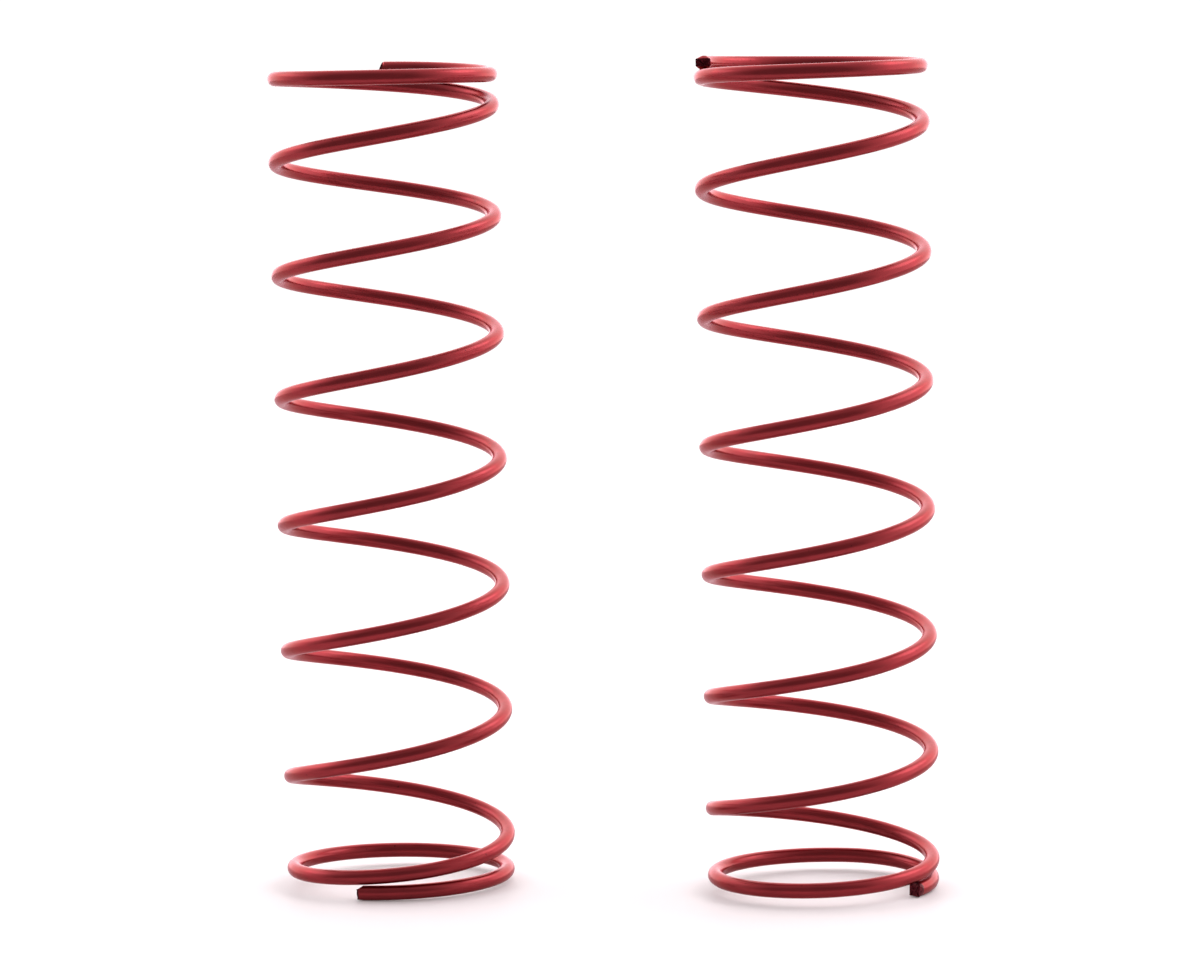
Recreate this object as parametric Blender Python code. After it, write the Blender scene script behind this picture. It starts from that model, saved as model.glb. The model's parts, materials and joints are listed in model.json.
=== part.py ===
"""A matched pair of long compression springs with closed, unground ends, standing side by side.

Metres, +Z up. The origin is on the surface that the springs stand on, midway between them.

Both springs are one design. The left one stands on its firm end. The right one is turned upside down and
stands on its soft end, where the open coils are wound a little closer together.
"""

import math

import bmesh
import bpy
from mathutils import Vector

# The wire and the coil.
WIRE_DIAMETER = 0.00148
COIL_RADIUS = 0.0108  # from the axis to the middle of the wire
CLOSED_COIL_SHRINK = 0.010  # how much smaller the closed coils are wound, as a share of the radius
TURNS = 8.567  # from tip to tip

# The rise of the wire, per turn. The soft end's closed coil lies flat, and only its tip is bent out of it.
CLOSED_PITCH = 0.00127  # in the firm end's closed coil
OPEN_PITCH = 0.01264  # in the open coils
SOFT_END_PITCH = 0.0110  # in the first open coil next to the soft end
SOFT_TIP_BEND = 0.00073  # from the flat coil to the soft end's tip

# Where the rise changes, in turns from the nearer tip.
FIRM_OPENING = (0.767, 1.448)  # from the closed pitch to the open pitch
SOFT_OPENING = (0.636, 1.345)  # from flat to the soft end's pitch
EASING = (1.819, 3.856)  # from the soft end's pitch to the full open pitch
SOFT_TIP = (0.0, 0.306)  # where the soft end's tip is bent

# Where the wire is divided, so that the coils between the two ends can be pressed together.
END_COIL_TURNS = 1.1  # a closed end coil, as far as just past its own tip
CUT_GAP = 0.0003  # the gap along the wire at each division

# Where the springs stand, and which way each one's lower tip points from its axis, in degrees from +X.
SPACING = 0.04294
LEFT_TIP_ANGLE = -99.4
RIGHT_TIP_ANGLE = -25.4

# How finely the wire is divided.
SIDES = 10
RINGS_PER_TURN = 28

# The ten-sided section has the area of the round wire.
SECTION_RADIUS = WIRE_DIAMETER / 2 * math.sqrt(2 * math.pi / (SIDES * math.sin(2 * math.pi / SIDES)))
SECTION_HALF_HEIGHT = SECTION_RADIUS * math.cos(math.pi / SIDES)  # a flat side faces down

COAT_COLOUR = (0.36, 0.02, 0.03, 1.0)
COAT_ROUGHNESS = 0.25
COAT_METALLIC = 0.6


def remove_startup_objects():
    for obj in list(bpy.data.objects):
        bpy.data.objects.remove(obj)


def smooth_step(turn, span):
    """0 before the span, 1 after it, and an even S between."""
    start, end = span
    share = min(max((turn - start) / (end - start), 0.0), 1.0)
    return share * share * (3 - 2 * share)


def smooth_step_total(turn, span):
    """The area under smooth_step from 0 to this turn, in turns."""
    start, end = span
    if turn >= end:
        return turn - (start + end) / 2
    share = max((turn - start) / (end - start), 0.0)
    return (end - start) * (share**3 - share**4 / 2)


def firm_rise(turn):
    """The height of the wire's middle over the firm end's tip, as far as the middle of the spring."""
    return CLOSED_PITCH * turn + (OPEN_PITCH - CLOSED_PITCH) * smooth_step_total(turn, FIRM_OPENING)


def soft_rise(turn):
    """The same for the soft end, with the turns counted from that end's tip."""
    opened = SOFT_END_PITCH * smooth_step_total(turn, SOFT_OPENING)
    eased = (OPEN_PITCH - SOFT_END_PITCH) * smooth_step_total(turn, EASING)
    return SOFT_TIP_BEND * smooth_step(turn, SOFT_TIP) + opened + eased


def rise(turn):
    """The height gained by the wire's middle, from the firm end's tip to this turn."""
    middle = TURNS / 2
    if turn < middle:
        return firm_rise(turn)
    return firm_rise(middle) + soft_rise(TURNS - middle) - soft_rise(TURNS - turn)


FREE_HEIGHT = rise(TURNS) + 2 * SECTION_HALF_HEIGHT


def wire_middle(turn):
    """A point on the wire's middle line, for a spring that stands on its firm end at the origin."""
    opening = FIRM_OPENING if turn < TURNS / 2 else SOFT_OPENING
    closeness = 1 - smooth_step(min(turn, TURNS - turn), opening)
    radius = COIL_RADIUS * (1 - CLOSED_COIL_SHRINK * closeness)
    angle = 2 * math.pi * turn
    return Vector((radius * math.cos(angle), radius * math.sin(angle), rise(turn) + SECTION_HALF_HEIGHT))


def wire_section(turn):
    """The ring of points round the wire at this turn."""
    step = 1e-4
    along = (wire_middle(turn + step) - wire_middle(turn - step)).normalized()
    middle = wire_middle(turn)
    outward = Vector((middle.x, middle.y, 0.0))
    outward = (outward - outward.dot(along) * along).normalized()
    upward = outward.cross(along)
    points = []
    for side in range(SIDES):
        angle = 2 * math.pi * side / SIDES
        reach = math.cos(angle) * outward + math.sin(angle) * upward
        points.append(middle + SECTION_RADIUS * reach)
    return points


def wire_mesh(name, first_turn, last_turn):
    """A closed solid of the wire between two turns."""
    ring_count = math.ceil((last_turn - first_turn) * RINGS_PER_TURN) + 1
    bm = bmesh.new()
    rings = []
    for ring in range(ring_count):
        turn = first_turn + (last_turn - first_turn) * ring / (ring_count - 1)
        rings.append([bm.verts.new(point) for point in wire_section(turn)])
    for lower, upper in zip(rings, rings[1:]):
        for side in range(SIDES):
            after = (side + 1) % SIDES
            bm.faces.new((lower[side], lower[after], upper[after], upper[side]))
    bm.faces.new(rings[0])
    bm.faces.new(rings[-1])
    bmesh.ops.recalc_face_normals(bm, faces=bm.faces[:])
    mesh = bpy.data.meshes.new(name)
    bm.to_mesh(mesh)
    bm.free()
    mesh.shade_smooth()
    mesh.set_sharp_from_angle(angle=math.radians(50))
    return mesh


def red_coat(name):
    material = bpy.data.materials.new(name)
    material.use_nodes = True
    shader = material.node_tree.nodes["Principled BSDF"]
    shader.inputs["Base Color"].default_value = COAT_COLOUR
    shader.inputs["Roughness"].default_value = COAT_ROUGHNESS
    shader.inputs["Metallic"].default_value = COAT_METALLIC
    return material


def add_piece(name, first_turn, last_turn, axis_empty):
    """One length of the wire, whose origin stays on its spring's axis."""
    mesh = wire_mesh(name, first_turn, last_turn)
    mesh.materials.append(red_coat(name + "_coat"))
    piece = bpy.data.objects.new(name, mesh)
    piece.parent = axis_empty
    bpy.context.scene.collection.objects.link(piece)


def add_spring(side, axis_empty, firm_end, soft_end):
    """The three lengths of one spring's wire. firm_end and soft_end say which is lower and which is upper."""
    half_gap = CUT_GAP / (2 * math.pi * COIL_RADIUS) / 2
    low_cut = END_COIL_TURNS
    high_cut = TURNS - END_COIL_TURNS
    add_piece(f"{side}_{firm_end}_end_coil", 0.0, low_cut - half_gap, axis_empty)
    add_piece(f"{side}_active_coils", low_cut + half_gap, high_cut - half_gap, axis_empty)
    add_piece(f"{side}_{soft_end}_end_coil", high_cut + half_gap, TURNS, axis_empty)


def add_axis_empty(name, location, rotation):
    empty = bpy.data.objects.new(name, None)
    empty.location = location
    empty.rotation_euler = rotation
    bpy.context.scene.collection.objects.link(empty)
    return empty


def main():
    remove_startup_objects()
    left_axis = add_axis_empty(
        "left_spring_axis",
        (-SPACING / 2, 0.0, 0.0),
        (0.0, 0.0, math.radians(LEFT_TIP_ANGLE)),
    )
    add_spring("left", left_axis, firm_end="lower", soft_end="upper")

    # Turned over about its own X axis, the soft end's tip points at minus its angle before, so the turn about
    # Z adds it.
    soft_tip_angle = 360.0 * TURNS
    right_axis = add_axis_empty(
        "right_spring_axis",
        (SPACING / 2, 0.0, FREE_HEIGHT),
        (math.pi, 0.0, math.radians(RIGHT_TIP_ANGLE + soft_tip_angle)),
    )
    add_spring("right", right_axis, firm_end="upper", soft_end="lower")


main()
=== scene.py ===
"""The looks of a matched pair of red compression springs, on a white studio floor.

Each spring is one piece: a single length of round wire, wound, cut at both ends and coated. It stands for
the three CAD nodes of that spring.
"""

import json
import math
import random

import bpy
from mathutils import Matrix, Vector


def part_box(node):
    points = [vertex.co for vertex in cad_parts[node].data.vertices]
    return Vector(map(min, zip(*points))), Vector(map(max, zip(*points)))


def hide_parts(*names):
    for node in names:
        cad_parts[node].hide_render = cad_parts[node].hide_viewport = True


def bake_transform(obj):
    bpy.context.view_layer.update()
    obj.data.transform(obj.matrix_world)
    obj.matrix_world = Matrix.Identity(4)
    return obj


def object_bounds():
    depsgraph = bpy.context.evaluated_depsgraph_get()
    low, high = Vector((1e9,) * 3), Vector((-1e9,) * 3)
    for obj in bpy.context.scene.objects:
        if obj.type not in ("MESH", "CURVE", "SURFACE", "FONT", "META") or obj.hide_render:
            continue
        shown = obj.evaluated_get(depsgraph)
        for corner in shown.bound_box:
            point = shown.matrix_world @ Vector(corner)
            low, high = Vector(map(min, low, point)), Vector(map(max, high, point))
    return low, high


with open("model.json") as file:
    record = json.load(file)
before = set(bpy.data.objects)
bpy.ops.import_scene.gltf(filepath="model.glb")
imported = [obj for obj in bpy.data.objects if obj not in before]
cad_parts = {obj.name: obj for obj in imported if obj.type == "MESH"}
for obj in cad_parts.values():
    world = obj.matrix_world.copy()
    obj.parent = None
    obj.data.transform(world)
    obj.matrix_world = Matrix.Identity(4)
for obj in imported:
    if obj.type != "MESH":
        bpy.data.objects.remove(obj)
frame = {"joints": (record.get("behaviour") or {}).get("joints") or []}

cad_low, cad_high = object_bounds()

# The wire and the coil, as the CAD has them. Metres and turns.
WIRE_DIAMETER = 0.00148
COIL_RADIUS = 0.0108
CLOSED_COIL_SHRINK = 0.010
TURNS = 8.567
CLOSED_PITCH = 0.00127
OPEN_PITCH = 0.01264
SOFT_END_PITCH = 0.0110
SOFT_TIP_BEND = 0.00073
FIRM_OPENING = (0.767, 1.448)
SOFT_OPENING = (0.636, 1.345)
EASING = (1.819, 3.856)
SOFT_TIP = (0.0, 0.306)
END_COIL_TURNS = 1.1
LEFT_TIP_ANGLE = -99.4
RIGHT_TIP_ANGLE = -25.4

# How finely the wire is divided.
SIDES = 32
RINGS_PER_TURN = 120
SHARP_ANGLE = math.radians(35)  # between two faces, over which their shared edge is drawn sharp

# The cut at each tip of the wire: the cutter's two bevels leave a nose that is lower than the wire.
NOSE_LENGTH = 0.00042
NOSE_SQUARENESS = 0.85  # 0 is round and 1 is square
NOSE_RINGS = 6
CUT_FACE_RINGS = 5
CUT_ROUGHNESS = 0.00007  # how far the points of the cut face stand forward or back

# The wire's two materials, by their place in each spring's list.
COAT = 0
CUT = 1

# The red coat and the marks of the cutter.
DEEP_RED = (0.20, 0.010, 0.014, 1.0)
BRIGHT_RED = (0.26, 0.014, 0.020, 1.0)
SPECK_RED = (0.10, 0.003, 0.005, 1.0)
SCORCHED_RED = (0.07, 0.006, 0.010, 1.0)
EDGE_TINT = (0.74, 0.24, 0.32, 1.0)
METAL_ROUGHNESS = 0.33
ROUGHNESS_SPREAD = 0.05  # either way, from place to place
SCORCH_ROUGHENING = 0.2
RAGGED_EDGE = 0.0001  # how far the edge of the scorched stretch wanders, and how far it takes to fade
LACQUER_WEIGHT = 0.45
LACQUER_ROUGHNESS = 0.22
LACQUER_IOR = 1.45
CUT_BLACK = (0.030, 0.003, 0.006, 1.0)
CUT_RED = (0.15, 0.013, 0.022, 1.0)
CUT_METALLIC = 0.3
CUT_SPECULAR = 0.1

# How fine each marking is, in repeats per metre of wire.
GRAIN = 900.0
SPECKS = 2600.0
SCORCH_EDGE = 2500.0
FINE_GRAIN = 2500.0
ORANGE_PEEL = 3500.0
TEARS = 6000.0

# The studio. Brightnesses are shares of the white of a finished picture. Directions are from the springs.
SEEN_LEVEL = 1.1  # what the camera sees beyond the floor
ROOM_LEVEL = 0.40  # the dim room on the camera's side
WALL_LEVEL = 2.6
BACKDROP_LEVEL = 3.2
CEILING_SHARE = 0.5  # of the wall's level, overhead
ROOM_TURN = math.radians(-16.0)  # the middle of the dim side, from the camera's side, to the left
WHITE = (1.0, 1.0, 1.0, 1.0)
FLOOR_COLOUR = (0.77, 0.69, 0.71, 1.0)
FLOOR_ROUGHNESS = 0.6
FLOOR_SPECULAR = 0.2
FLOOR_GLOW = 0.1
FLOOR_SIDES = 128
FLOOR_RADIUS = 0.40
FLOOR_FRONT = 0.12  # from the springs to the floor's edge on the camera's side

# The camera, which looks at the springs from the front, a little to the right and a little above.
CAMERA_AZIMUTH = math.radians(11.03)
CAMERA_DISTANCE = 0.47073
CAMERA_SIDEWAYS = -0.00027
CAMERA_HEIGHT = 0.08328
CAMERA_TILT = 0.0904
CAMERA_ROLL = -0.0199
CAMERA_SENSOR = 36.0  # millimetres
CAMERA_LENS = 142.98  # millimetres
CAMERA_CLIP_START = 0.01

CAMERA_SIDE = Vector((math.sin(CAMERA_AZIMUTH), -math.cos(CAMERA_AZIMUTH), 0.0))
CAMERA_RIGHT = Vector((math.cos(CAMERA_AZIMUTH), math.sin(CAMERA_AZIMUTH), 0.0))

WIRE_RADIUS = WIRE_DIAMETER / 2
TURN_LENGTH = 2 * math.pi * COIL_RADIUS
FREE_HEIGHT = cad_high.z - cad_low.z


def smooth_step(turn, span):
    """0 before the span, 1 after it, and an even S between."""
    start, end = span
    share = min(max((turn - start) / (end - start), 0.0), 1.0)
    return share * share * (3 - 2 * share)


def smooth_step_total(turn, span):
    """The area under smooth_step from 0 to this turn, in turns."""
    start, end = span
    if turn >= end:
        return turn - (start + end) / 2
    share = max((turn - start) / (end - start), 0.0)
    return (end - start) * (share**3 - share**4 / 2)


def firm_rise(turn):
    """The height of the wire's middle over the firm end's tip, as far as the middle of the spring."""
    return CLOSED_PITCH * turn + (OPEN_PITCH - CLOSED_PITCH) * smooth_step_total(turn, FIRM_OPENING)


def soft_rise(turn):
    """The same for the soft end, with the turns counted from that end's tip."""
    opened = SOFT_END_PITCH * smooth_step_total(turn, SOFT_OPENING)
    eased = (OPEN_PITCH - SOFT_END_PITCH) * smooth_step_total(turn, EASING)
    return SOFT_TIP_BEND * smooth_step(turn, SOFT_TIP) + opened + eased


def rise(turn):
    """The height gained by the wire's middle, from the firm end's tip to this turn."""
    middle = TURNS / 2
    if turn < middle:
        return firm_rise(turn)
    return firm_rise(middle) + soft_rise(TURNS - middle) - soft_rise(TURNS - turn)


# From the ground to the wire's middle at the lower tip.
BASE_GAP = (FREE_HEIGHT - rise(TURNS)) / 2


def wire_middle(turn):
    """A point on the wire's middle line, for a spring that stands on its firm end at the origin."""
    opening = FIRM_OPENING if turn < TURNS / 2 else SOFT_OPENING
    closeness = 1 - smooth_step(min(turn, TURNS - turn), opening)
    radius = COIL_RADIUS * (1 - CLOSED_COIL_SHRINK * closeness)
    angle = 2 * math.pi * turn
    return Vector((radius * math.cos(angle), radius * math.sin(angle), rise(turn) + BASE_GAP))


def wire_frame(turn):
    """The wire's middle, and its directions along, outward and upward, at this turn."""
    step = 1e-4
    along = (wire_middle(turn + step) - wire_middle(turn - step)).normalized()
    middle = wire_middle(turn)
    outward = Vector((middle.x, middle.y, 0.0))
    outward = (outward - outward.dot(along) * along).normalized()
    return middle, along, outward, outward.cross(along)


TRAVEL = max(joint["range_m"][1] for joint in frame["joints"] if joint["name"].endswith("_compression"))
FIRST_FREE_TURN = END_COIL_TURNS
LAST_FREE_TURN = TURNS - END_COIL_TURNS
PRESSED_PITCH = (rise(LAST_FREE_TURN) - rise(FIRST_FREE_TURN) - TRAVEL) / (LAST_FREE_TURN - FIRST_FREE_TURN)


def press_weight(turn):
    """How this turn moves as the coils close up evenly: 0 with the firm end's body, 1 with the soft end's."""
    turn = min(max(turn, FIRST_FREE_TURN), LAST_FREE_TURN)
    return (rise(turn) - rise(FIRST_FREE_TURN) - PRESSED_PITCH * (turn - FIRST_FREE_TURN)) / TRAVEL


class WireMesh:
    """Gathers rings of points along the wire, with each point's place on the straightened wire."""

    def __init__(self, first_scorch, last_scorch):
        self.first_scorch = first_scorch
        self.last_scorch = last_scorch
        self.points = []
        self.faces = []
        self.face_materials = []
        self.places = []
        self.clear_lengths = []
        self.weights = []

    def add_point(self, point, turn, across, height):
        """across and height place the point in the wire's section, as shares of the wire's radius."""
        from_first = turn * TURN_LENGTH - self.first_scorch
        from_last = (TURNS - turn) * TURN_LENGTH - self.last_scorch
        self.points.append(point)
        self.places.append((turn * TURN_LENGTH, WIRE_RADIUS * across, WIRE_RADIUS * height))
        self.clear_lengths.append(min(from_first, from_last))
        self.weights.append(press_weight(turn))
        return len(self.points) - 1

    def join(self, first, second, material):
        for side in range(SIDES):
            after = (side + 1) % SIDES
            self.faces.append((first[side], first[after], second[after], second[side]))
            self.face_materials.append(material)

    def close(self, ring, tip, at_start):
        """Fills the innermost ring of a cut face with a fan round its middle point."""
        for side in range(SIDES):
            after = (side + 1) % SIDES
            face = (ring[side], ring[after], tip) if at_start else (ring[after], ring[side], tip)
            self.faces.append(face)
            self.face_materials.append(CUT)


def wire_cut(top=0.0, bottom=0.0, skew=0.0, lean=0.0, scorch=0.0, torn=False):
    """How one tip is cut.

    The bevels take the shares top and bottom off the wire's height. The face is turned sideways by skew and
    leant by lean. scorch is the length of coat that is scorched, and a negative one leaves the coat clear to
    the tip. torn says whether the bevels are torn too.
    """
    return {"top": top, "bottom": bottom, "skew": skew, "lean": lean, "scorch": scorch, "torn": torn}


def squared(value, share):
    """A sine or cosine, drawn towards -1 or 1 as share grows to 1, so that a round outline turns squarish."""
    return math.copysign(abs(value) ** (1 - NOSE_SQUARENESS * share), value)


def add_ring(wire, turn, scale, share, cut, jitter, rng):
    """A ring of points across the wire. Its share of the cut's shape goes from 0 to 1 at the tip."""
    middle, along, outward, upward = wire_frame(turn)
    ring = []
    for side in range(SIDES):
        angle = 2 * math.pi * side / SIDES
        bevel = cut["top"] if math.sin(angle) > 0 else cut["bottom"]
        across = scale * squared(math.cos(angle), share)
        height = scale * squared(math.sin(angle), share) * (1 - bevel * share)
        forward = cut["skew"] * across * share + cut["lean"] * height * share
        if jitter:
            forward += rng.uniform(-1, 1) * jitter / WIRE_RADIUS
        point = middle + WIRE_RADIUS * (across * outward + height * upward + forward * along)
        ring.append(wire.add_point(point, turn, across, height))
    return ring


def spring_wire(first_cut, last_cut, seed):
    """The whole wire of one spring, in the frame of a spring that stands on its firm end at the origin."""
    rng = random.Random(seed)
    wire = WireMesh(first_cut["scorch"], last_cut["scorch"])
    nose_turns = NOSE_LENGTH / TURN_LENGTH
    ring_count = math.ceil((TURNS - 2 * nose_turns) * RINGS_PER_TURN) + 1
    plain = wire_cut()
    stations = []
    for step in range(NOSE_RINGS):
        share = 1 - step / NOSE_RINGS
        stations.append((nose_turns * (1 - share), share, first_cut))
    for step in range(ring_count):
        turn = nose_turns + (TURNS - 2 * nose_turns) * step / (ring_count - 1)
        stations.append((turn, 0.0, plain))
    for step in range(1, NOSE_RINGS + 1):
        share = step / NOSE_RINGS
        stations.append((TURNS - nose_turns * (1 - share), share, last_cut))
    rings = []
    for turn, share, cut in stations:
        jitter = CUT_ROUGHNESS if share == 1 else 0.0
        rings.append(add_ring(wire, turn, 1.0, share, cut, jitter, rng))
    for number in range(len(rings) - 1):
        torn = stations[number][2]["torn"] or stations[number + 1][2]["torn"]
        wire.join(rings[number + 1], rings[number], CUT if torn else COAT)

    first_face = (0.0, rings[0], first_cut, True)
    last_face = (TURNS, rings[-1], last_cut, False)
    for end_turn, outer, cut, at_start in (first_face, last_face):
        before = outer
        for step in range(1, CUT_FACE_RINGS):
            scale = 1 - step / CUT_FACE_RINGS
            ring = add_ring(wire, end_turn, scale, 1.0, cut, CUT_ROUGHNESS, rng)
            if at_start:
                wire.join(before, ring, CUT)
            else:
                wire.join(ring, before, CUT)
            before = ring
        tip = wire.add_point(wire_middle(end_turn), end_turn, 0.0, 0.0)
        wire.close(before, tip, at_start)
    return wire


def wire_noise(tree, scale, detail, stretch=1.0):
    """Noise on the straightened wire, per metre. A stretch over 1 draws it out along the wire."""
    place = tree.nodes.new("ShaderNodeAttribute")
    place.attribute_name = "wire_place"
    mapping = tree.nodes.new("ShaderNodeMapping")
    mapping.inputs["Scale"].default_value = (1.0 / stretch, 1.0, 1.0)
    tree.links.new(place.outputs["Vector"], mapping.inputs["Vector"])
    texture = tree.nodes.new("ShaderNodeTexNoise")
    texture.inputs["Scale"].default_value = scale
    texture.inputs["Detail"].default_value = detail
    tree.links.new(mapping.outputs["Vector"], texture.inputs["Vector"])
    return texture.outputs["Fac"]


def map_range(tree, value, from_range, to_range, kind="LINEAR"):
    """The value, carried from one range over to the other."""
    node = tree.nodes.new("ShaderNodeMapRange")
    node.interpolation_type = kind
    node.inputs["From Min"].default_value, node.inputs["From Max"].default_value = from_range
    node.inputs["To Min"].default_value, node.inputs["To Max"].default_value = to_range
    tree.links.new(value, node.inputs["Value"])
    return node.outputs["Result"]


def arithmetic(tree, operation, first, second):
    """A Math node. Each of first and second is an output of another node or a number."""
    node = tree.nodes.new("ShaderNodeMath")
    node.operation = operation
    for socket, value in zip(node.inputs, (first, second)):
        if isinstance(value, (int, float)):
            socket.default_value = value
        else:
            tree.links.new(value, socket)
    return node.outputs["Value"]


def mix_colour(tree, share, first, second):
    """Each of first and second is an output of another node or a colour."""
    node = tree.nodes.new("ShaderNodeMix")
    node.data_type = "RGBA"
    tree.links.new(share, node.inputs["Factor"])
    # The node has sockets named A, B and Result for each kind of data, so the colour ones go by number.
    colour_a, colour_b, colour_result = node.inputs[6], node.inputs[7], node.outputs[2]
    for socket, value in ((colour_a, first), (colour_b, second)):
        if isinstance(value, tuple):
            socket.default_value = value
        else:
            tree.links.new(value, socket)
    return colour_result


def add_bump(tree, shader, height, strength, distance, sockets):
    """Roughens the named normal sockets of the shader. distance is the depth of the relief in metres."""
    bump = tree.nodes.new("ShaderNodeBump")
    bump.inputs["Strength"].default_value = strength
    bump.inputs["Distance"].default_value = distance
    tree.links.new(height, bump.inputs["Height"])
    for socket in sockets:
        tree.links.new(bump.outputs["Normal"], shader.inputs[socket])


def red_coat():
    """Clear red lacquer over bright metal, which the cutter has scorched dark just before each tip."""
    material = bpy.data.materials.new("red_candy_coat")
    material.use_nodes = True
    tree = material.node_tree
    shader = tree.nodes["Principled BSDF"]
    shader.inputs["Metallic"].default_value = 1.0
    shader.inputs["Specular Tint"].default_value = EDGE_TINT
    shader.inputs["Coat Weight"].default_value = LACQUER_WEIGHT
    shader.inputs["Coat Roughness"].default_value = LACQUER_ROUGHNESS
    shader.inputs["Coat IOR"].default_value = LACQUER_IOR

    grain = wire_noise(tree, scale=GRAIN, detail=4.0, stretch=3.0)
    coat = mix_colour(tree, map_range(tree, grain, (0.3, 0.7), (0.0, 1.0)), DEEP_RED, BRIGHT_RED)
    specks = map_range(tree, wire_noise(tree, scale=SPECKS, detail=1.0), (0.76, 0.79), (0.0, 1.0))
    coat = mix_colour(tree, specks, coat, SPECK_RED)

    clear = tree.nodes.new("ShaderNodeAttribute")
    clear.attribute_name = "clear_length"
    edge_noise = wire_noise(tree, scale=SCORCH_EDGE, detail=3.0)
    ragged = map_range(tree, edge_noise, (0.2, 0.8), (-RAGGED_EDGE, RAGGED_EDGE))
    clear_length = arithmetic(tree, "ADD", clear.outputs["Fac"], ragged)
    scorch = map_range(tree, clear_length, (0.0, RAGGED_EDGE), (1.0, 0.0), "SMOOTHSTEP")
    tree.links.new(mix_colour(tree, scorch, coat, SCORCHED_RED), shader.inputs["Base Color"])

    fine = wire_noise(tree, scale=FINE_GRAIN, detail=3.0, stretch=2.0)
    roughness_range = (METAL_ROUGHNESS - ROUGHNESS_SPREAD, METAL_ROUGHNESS + ROUGHNESS_SPREAD)
    roughness = map_range(tree, fine, (0.3, 0.7), roughness_range)
    roughness = arithmetic(tree, "ADD", roughness, arithmetic(tree, "MULTIPLY", scorch, SCORCH_ROUGHENING))
    tree.links.new(roughness, shader.inputs["Roughness"])
    peel = wire_noise(tree, scale=ORANGE_PEEL, detail=2.0, stretch=1.6)
    add_bump(tree, shader, peel, strength=0.25, distance=0.00001, sockets=("Normal", "Coat Normal"))
    return material


def cut_end():
    """The torn face that the cutter left, dark and rough."""
    material = bpy.data.materials.new("dark_cut_end")
    material.use_nodes = True
    tree = material.node_tree
    shader = tree.nodes["Principled BSDF"]
    shader.inputs["Metallic"].default_value = CUT_METALLIC
    shader.inputs["Specular IOR Level"].default_value = CUT_SPECULAR
    shader.inputs["Specular Tint"].default_value = EDGE_TINT
    tears = wire_noise(tree, scale=TEARS, detail=4.0)
    share = map_range(tree, tears, (0.35, 0.7), (0.0, 1.0))
    tree.links.new(mix_colour(tree, share, CUT_BLACK, CUT_RED), shader.inputs["Base Color"])
    tree.links.new(map_range(tree, tears, (0.3, 0.7), (0.65, 0.45)), shader.inputs["Roughness"])
    add_bump(tree, shader, tears, strength=0.6, distance=0.00003, sockets=("Normal",))
    return material


def make_spring(side, place_matrix, wire, materials):
    """One spring's piece, which stands for its three CAD nodes."""
    mesh = bpy.data.meshes.new(side + "_spring")
    mesh.from_pydata(wire.points, [], wire.faces)
    for material in materials:
        mesh.materials.append(material)
    mesh.polygons.foreach_set("material_index", wire.face_materials)
    places = mesh.attributes.new("wire_place", "FLOAT_VECTOR", "POINT")
    places.data.foreach_set("vector", [value for place in wire.places for value in place])
    lengths = mesh.attributes.new("clear_length", "FLOAT", "POINT")
    lengths.data.foreach_set("value", wire.clear_lengths)
    mesh.shade_smooth()
    mesh.set_sharp_from_angle(angle=SHARP_ANGLE)
    mesh.transform(place_matrix)
    mesh.update()

    spring = bpy.data.objects.new(side + "_spring", mesh)
    bpy.context.scene.collection.objects.link(spring)

    lower, upper = side + "_lower", side + "_upper"
    nodes = (lower + "_end_coil", side + "_active_coils", upper + "_end_coil")
    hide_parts(*nodes)
    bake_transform(spring)


def spring_places():
    """Where each spring's own frame stands: the left one on its firm end, the right one turned over."""
    left_low, left_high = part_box("left_active_coils")
    right_low, right_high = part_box("right_active_coils")
    left_x = (left_low.x + left_high.x) / 2
    right_x = (right_low.x + right_high.x) / 2
    left = Matrix.Translation((left_x, 0, cad_low.z)) @ Matrix.Rotation(math.radians(LEFT_TIP_ANGLE), 4, "Z")
    turned = math.radians(RIGHT_TIP_ANGLE) + 2 * math.pi * TURNS
    right = (
        Matrix.Translation((right_x, 0, cad_high.z))
        @ Matrix.Rotation(turned, 4, "Z")
        @ Matrix.Rotation(math.pi, 4, "X")
    )
    return left, right


def add_springs():
    materials = (red_coat(), cut_end())
    left_place, right_place = spring_places()
    left_wire = spring_wire(
        first_cut=wire_cut(top=0.40, bottom=0.20, skew=0.05, lean=0.0, scorch=0.0001),
        last_cut=wire_cut(top=0.10, bottom=0.40, skew=-0.10, lean=-0.45, scorch=0.00012),
        seed=3,
    )
    right_wire = spring_wire(
        first_cut=wire_cut(top=0.56, bottom=0.38, skew=0.05, lean=0.05, scorch=-0.00025),
        last_cut=wire_cut(top=0.15, bottom=0.25, skew=0.30, lean=0.10, scorch=0.0005, torn=True),
        seed=4,
    )
    make_spring("left", left_place, left_wire, materials)
    make_spring("right", right_place, right_wire, materials)


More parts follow.
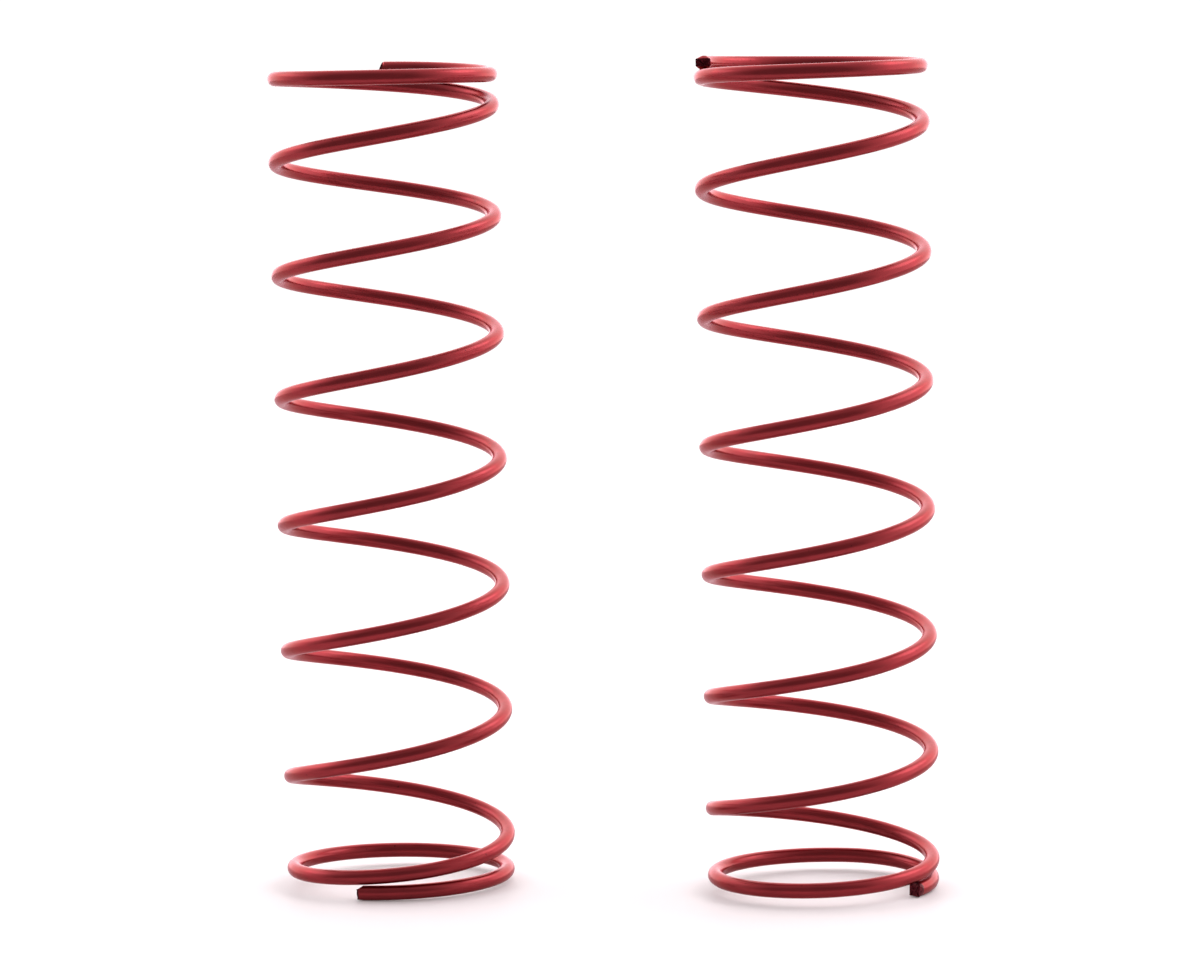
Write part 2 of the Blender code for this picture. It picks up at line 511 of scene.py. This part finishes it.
def add_floor():
    """A round white floor, mostly behind the springs, so that they reflect the dim room in front of them."""
    middle = CAMERA_SIDE * (FLOOR_FRONT - FLOOR_RADIUS)
    points = []
    for side in range(FLOOR_SIDES):
        angle = 2 * math.pi * side / FLOOR_SIDES
        x = middle.x + FLOOR_RADIUS * math.cos(angle)
        y = middle.y + FLOOR_RADIUS * math.sin(angle)
        points.append((x, y, cad_low.z))
    mesh = bpy.data.meshes.new("floor")
    mesh.from_pydata(points, [], [tuple(range(FLOOR_SIDES))])
    material = bpy.data.materials.new("white_floor")
    material.use_nodes = True
    shader = material.node_tree.nodes["Principled BSDF"]
    shader.inputs["Base Color"].default_value = FLOOR_COLOUR
    shader.inputs["Roughness"].default_value = FLOOR_ROUGHNESS
    shader.inputs["Specular IOR Level"].default_value = FLOOR_SPECULAR
    shader.inputs["Emission Color"].default_value = WHITE
    shader.inputs["Emission Strength"].default_value = FLOOR_GLOW
    mesh.materials.append(material)
    floor = bpy.data.objects.new("floor", mesh)
    bpy.context.scene.collection.objects.link(floor)


def add_softbox(name, azimuth, elevation, distance, width, height, radiance):
    """An area light that faces the springs. Its azimuth is in degrees to the right of the camera's side."""
    turn = math.radians(azimuth)
    lift = math.radians(elevation)
    flat = CAMERA_SIDE * math.cos(turn) + CAMERA_RIGHT * math.sin(turn)
    direction = flat * math.cos(lift) + Vector((0, 0, math.sin(lift)))
    light = bpy.data.lights.new(name, "AREA")
    light.shape = "RECTANGLE"
    light.size = width
    light.size_y = height
    light.energy = radiance * math.pi * width * height
    lamp = bpy.data.objects.new(name, light)
    target = Vector((0, 0, FREE_HEIGHT / 2))
    lamp.location = target + direction * distance
    lamp.rotation_euler = direction.to_track_quat("Z", "Y").to_euler()
    lamp.visible_camera = False
    bpy.context.scene.collection.objects.link(lamp)


def add_world():
    """White for the camera. For reflections and light, a dim room, pale walls and a bright backdrop."""
    world = bpy.data.worlds.new("studio")
    world.use_nodes = True
    tree = world.node_tree
    tree.nodes.clear()

    where = tree.nodes.new("ShaderNodeTexCoord").outputs["Generated"]
    split = tree.nodes.new("ShaderNodeSeparateXYZ")
    tree.links.new(where, split.inputs["Vector"])
    height = split.outputs["Z"]
    facing = tree.nodes.new("ShaderNodeVectorMath")
    facing.operation = "DOT_PRODUCT"
    room_direction = CAMERA_SIDE * math.cos(ROOM_TURN) + CAMERA_RIGHT * math.sin(ROOM_TURN)
    facing.inputs[1].default_value = room_direction
    tree.links.new(where, facing.inputs[0])
    towards_room = facing.outputs["Value"]

    walls = map_range(tree, towards_room, (-0.5, 0.6), (WALL_LEVEL - ROOM_LEVEL, 0.0))
    ceiling = map_range(tree, height, (0.5, 0.9), (1.0, CEILING_SHARE), "SMOOTHSTEP")
    behind = map_range(tree, towards_room, (-0.74, -0.66), (BACKDROP_LEVEL - WALL_LEVEL, 0.0), "SMOOTHSTEP")
    low = map_range(tree, height, (0.05, 0.3), (1.0, 0.0), "SMOOTHSTEP")
    lit_walls = arithmetic(tree, "MULTIPLY", walls, ceiling)
    backdrop = arithmetic(tree, "MULTIPLY", behind, low)
    level = arithmetic(tree, "ADD", arithmetic(tree, "ADD", lit_walls, ROOM_LEVEL), backdrop)

    studio = tree.nodes.new("ShaderNodeBackground")
    studio.inputs["Color"].default_value = WHITE
    tree.links.new(level, studio.inputs["Strength"])
    seen = tree.nodes.new("ShaderNodeBackground")
    seen.inputs["Color"].default_value = WHITE
    seen.inputs["Strength"].default_value = SEEN_LEVEL
    path = tree.nodes.new("ShaderNodeLightPath")
    mix = tree.nodes.new("ShaderNodeMixShader")
    out = tree.nodes.new("ShaderNodeOutputWorld")
    tree.links.new(path.outputs["Is Camera Ray"], mix.inputs["Fac"])
    tree.links.new(studio.outputs["Background"], mix.inputs[1])
    tree.links.new(seen.outputs["Background"], mix.inputs[2])
    tree.links.new(mix.outputs["Shader"], out.inputs["Surface"])
    bpy.context.scene.world = world


def add_lights():
    add_world()
    add_softbox(
        "right_softbox", azimuth=112, elevation=44, distance=1.0, width=0.6, height=0.4, radiance=2.4
    )
    add_softbox(
        "left_softbox", azimuth=-117, elevation=31, distance=1.0, width=0.6, height=0.3, radiance=1.3
    )


def add_camera():
    camera_data = bpy.data.cameras.new("camera")
    camera_data.sensor_width = CAMERA_SENSOR
    camera_data.lens = CAMERA_LENS
    camera_data.clip_start = CAMERA_CLIP_START
    camera = bpy.data.objects.new("camera", camera_data)
    bpy.context.scene.collection.objects.link(camera)
    ahead = -CAMERA_SIDE * math.cos(CAMERA_TILT) - Vector((0, 0, math.sin(CAMERA_TILT)))
    up = CAMERA_RIGHT.cross(ahead)
    right = math.cos(CAMERA_ROLL) * CAMERA_RIGHT + math.sin(CAMERA_ROLL) * up
    up = right.cross(ahead)
    turn = Matrix((right, up, -ahead)).transposed()
    place = CAMERA_SIDE * CAMERA_DISTANCE + CAMERA_RIGHT * CAMERA_SIDEWAYS + Vector((0, 0, CAMERA_HEIGHT))
    camera.matrix_world = Matrix.Translation(place) @ turn.to_4x4()
    bpy.context.scene.camera = camera


add_springs()
add_floor()
add_lights()
add_camera()
bpy.context.scene.view_settings.view_transform = "Standard"
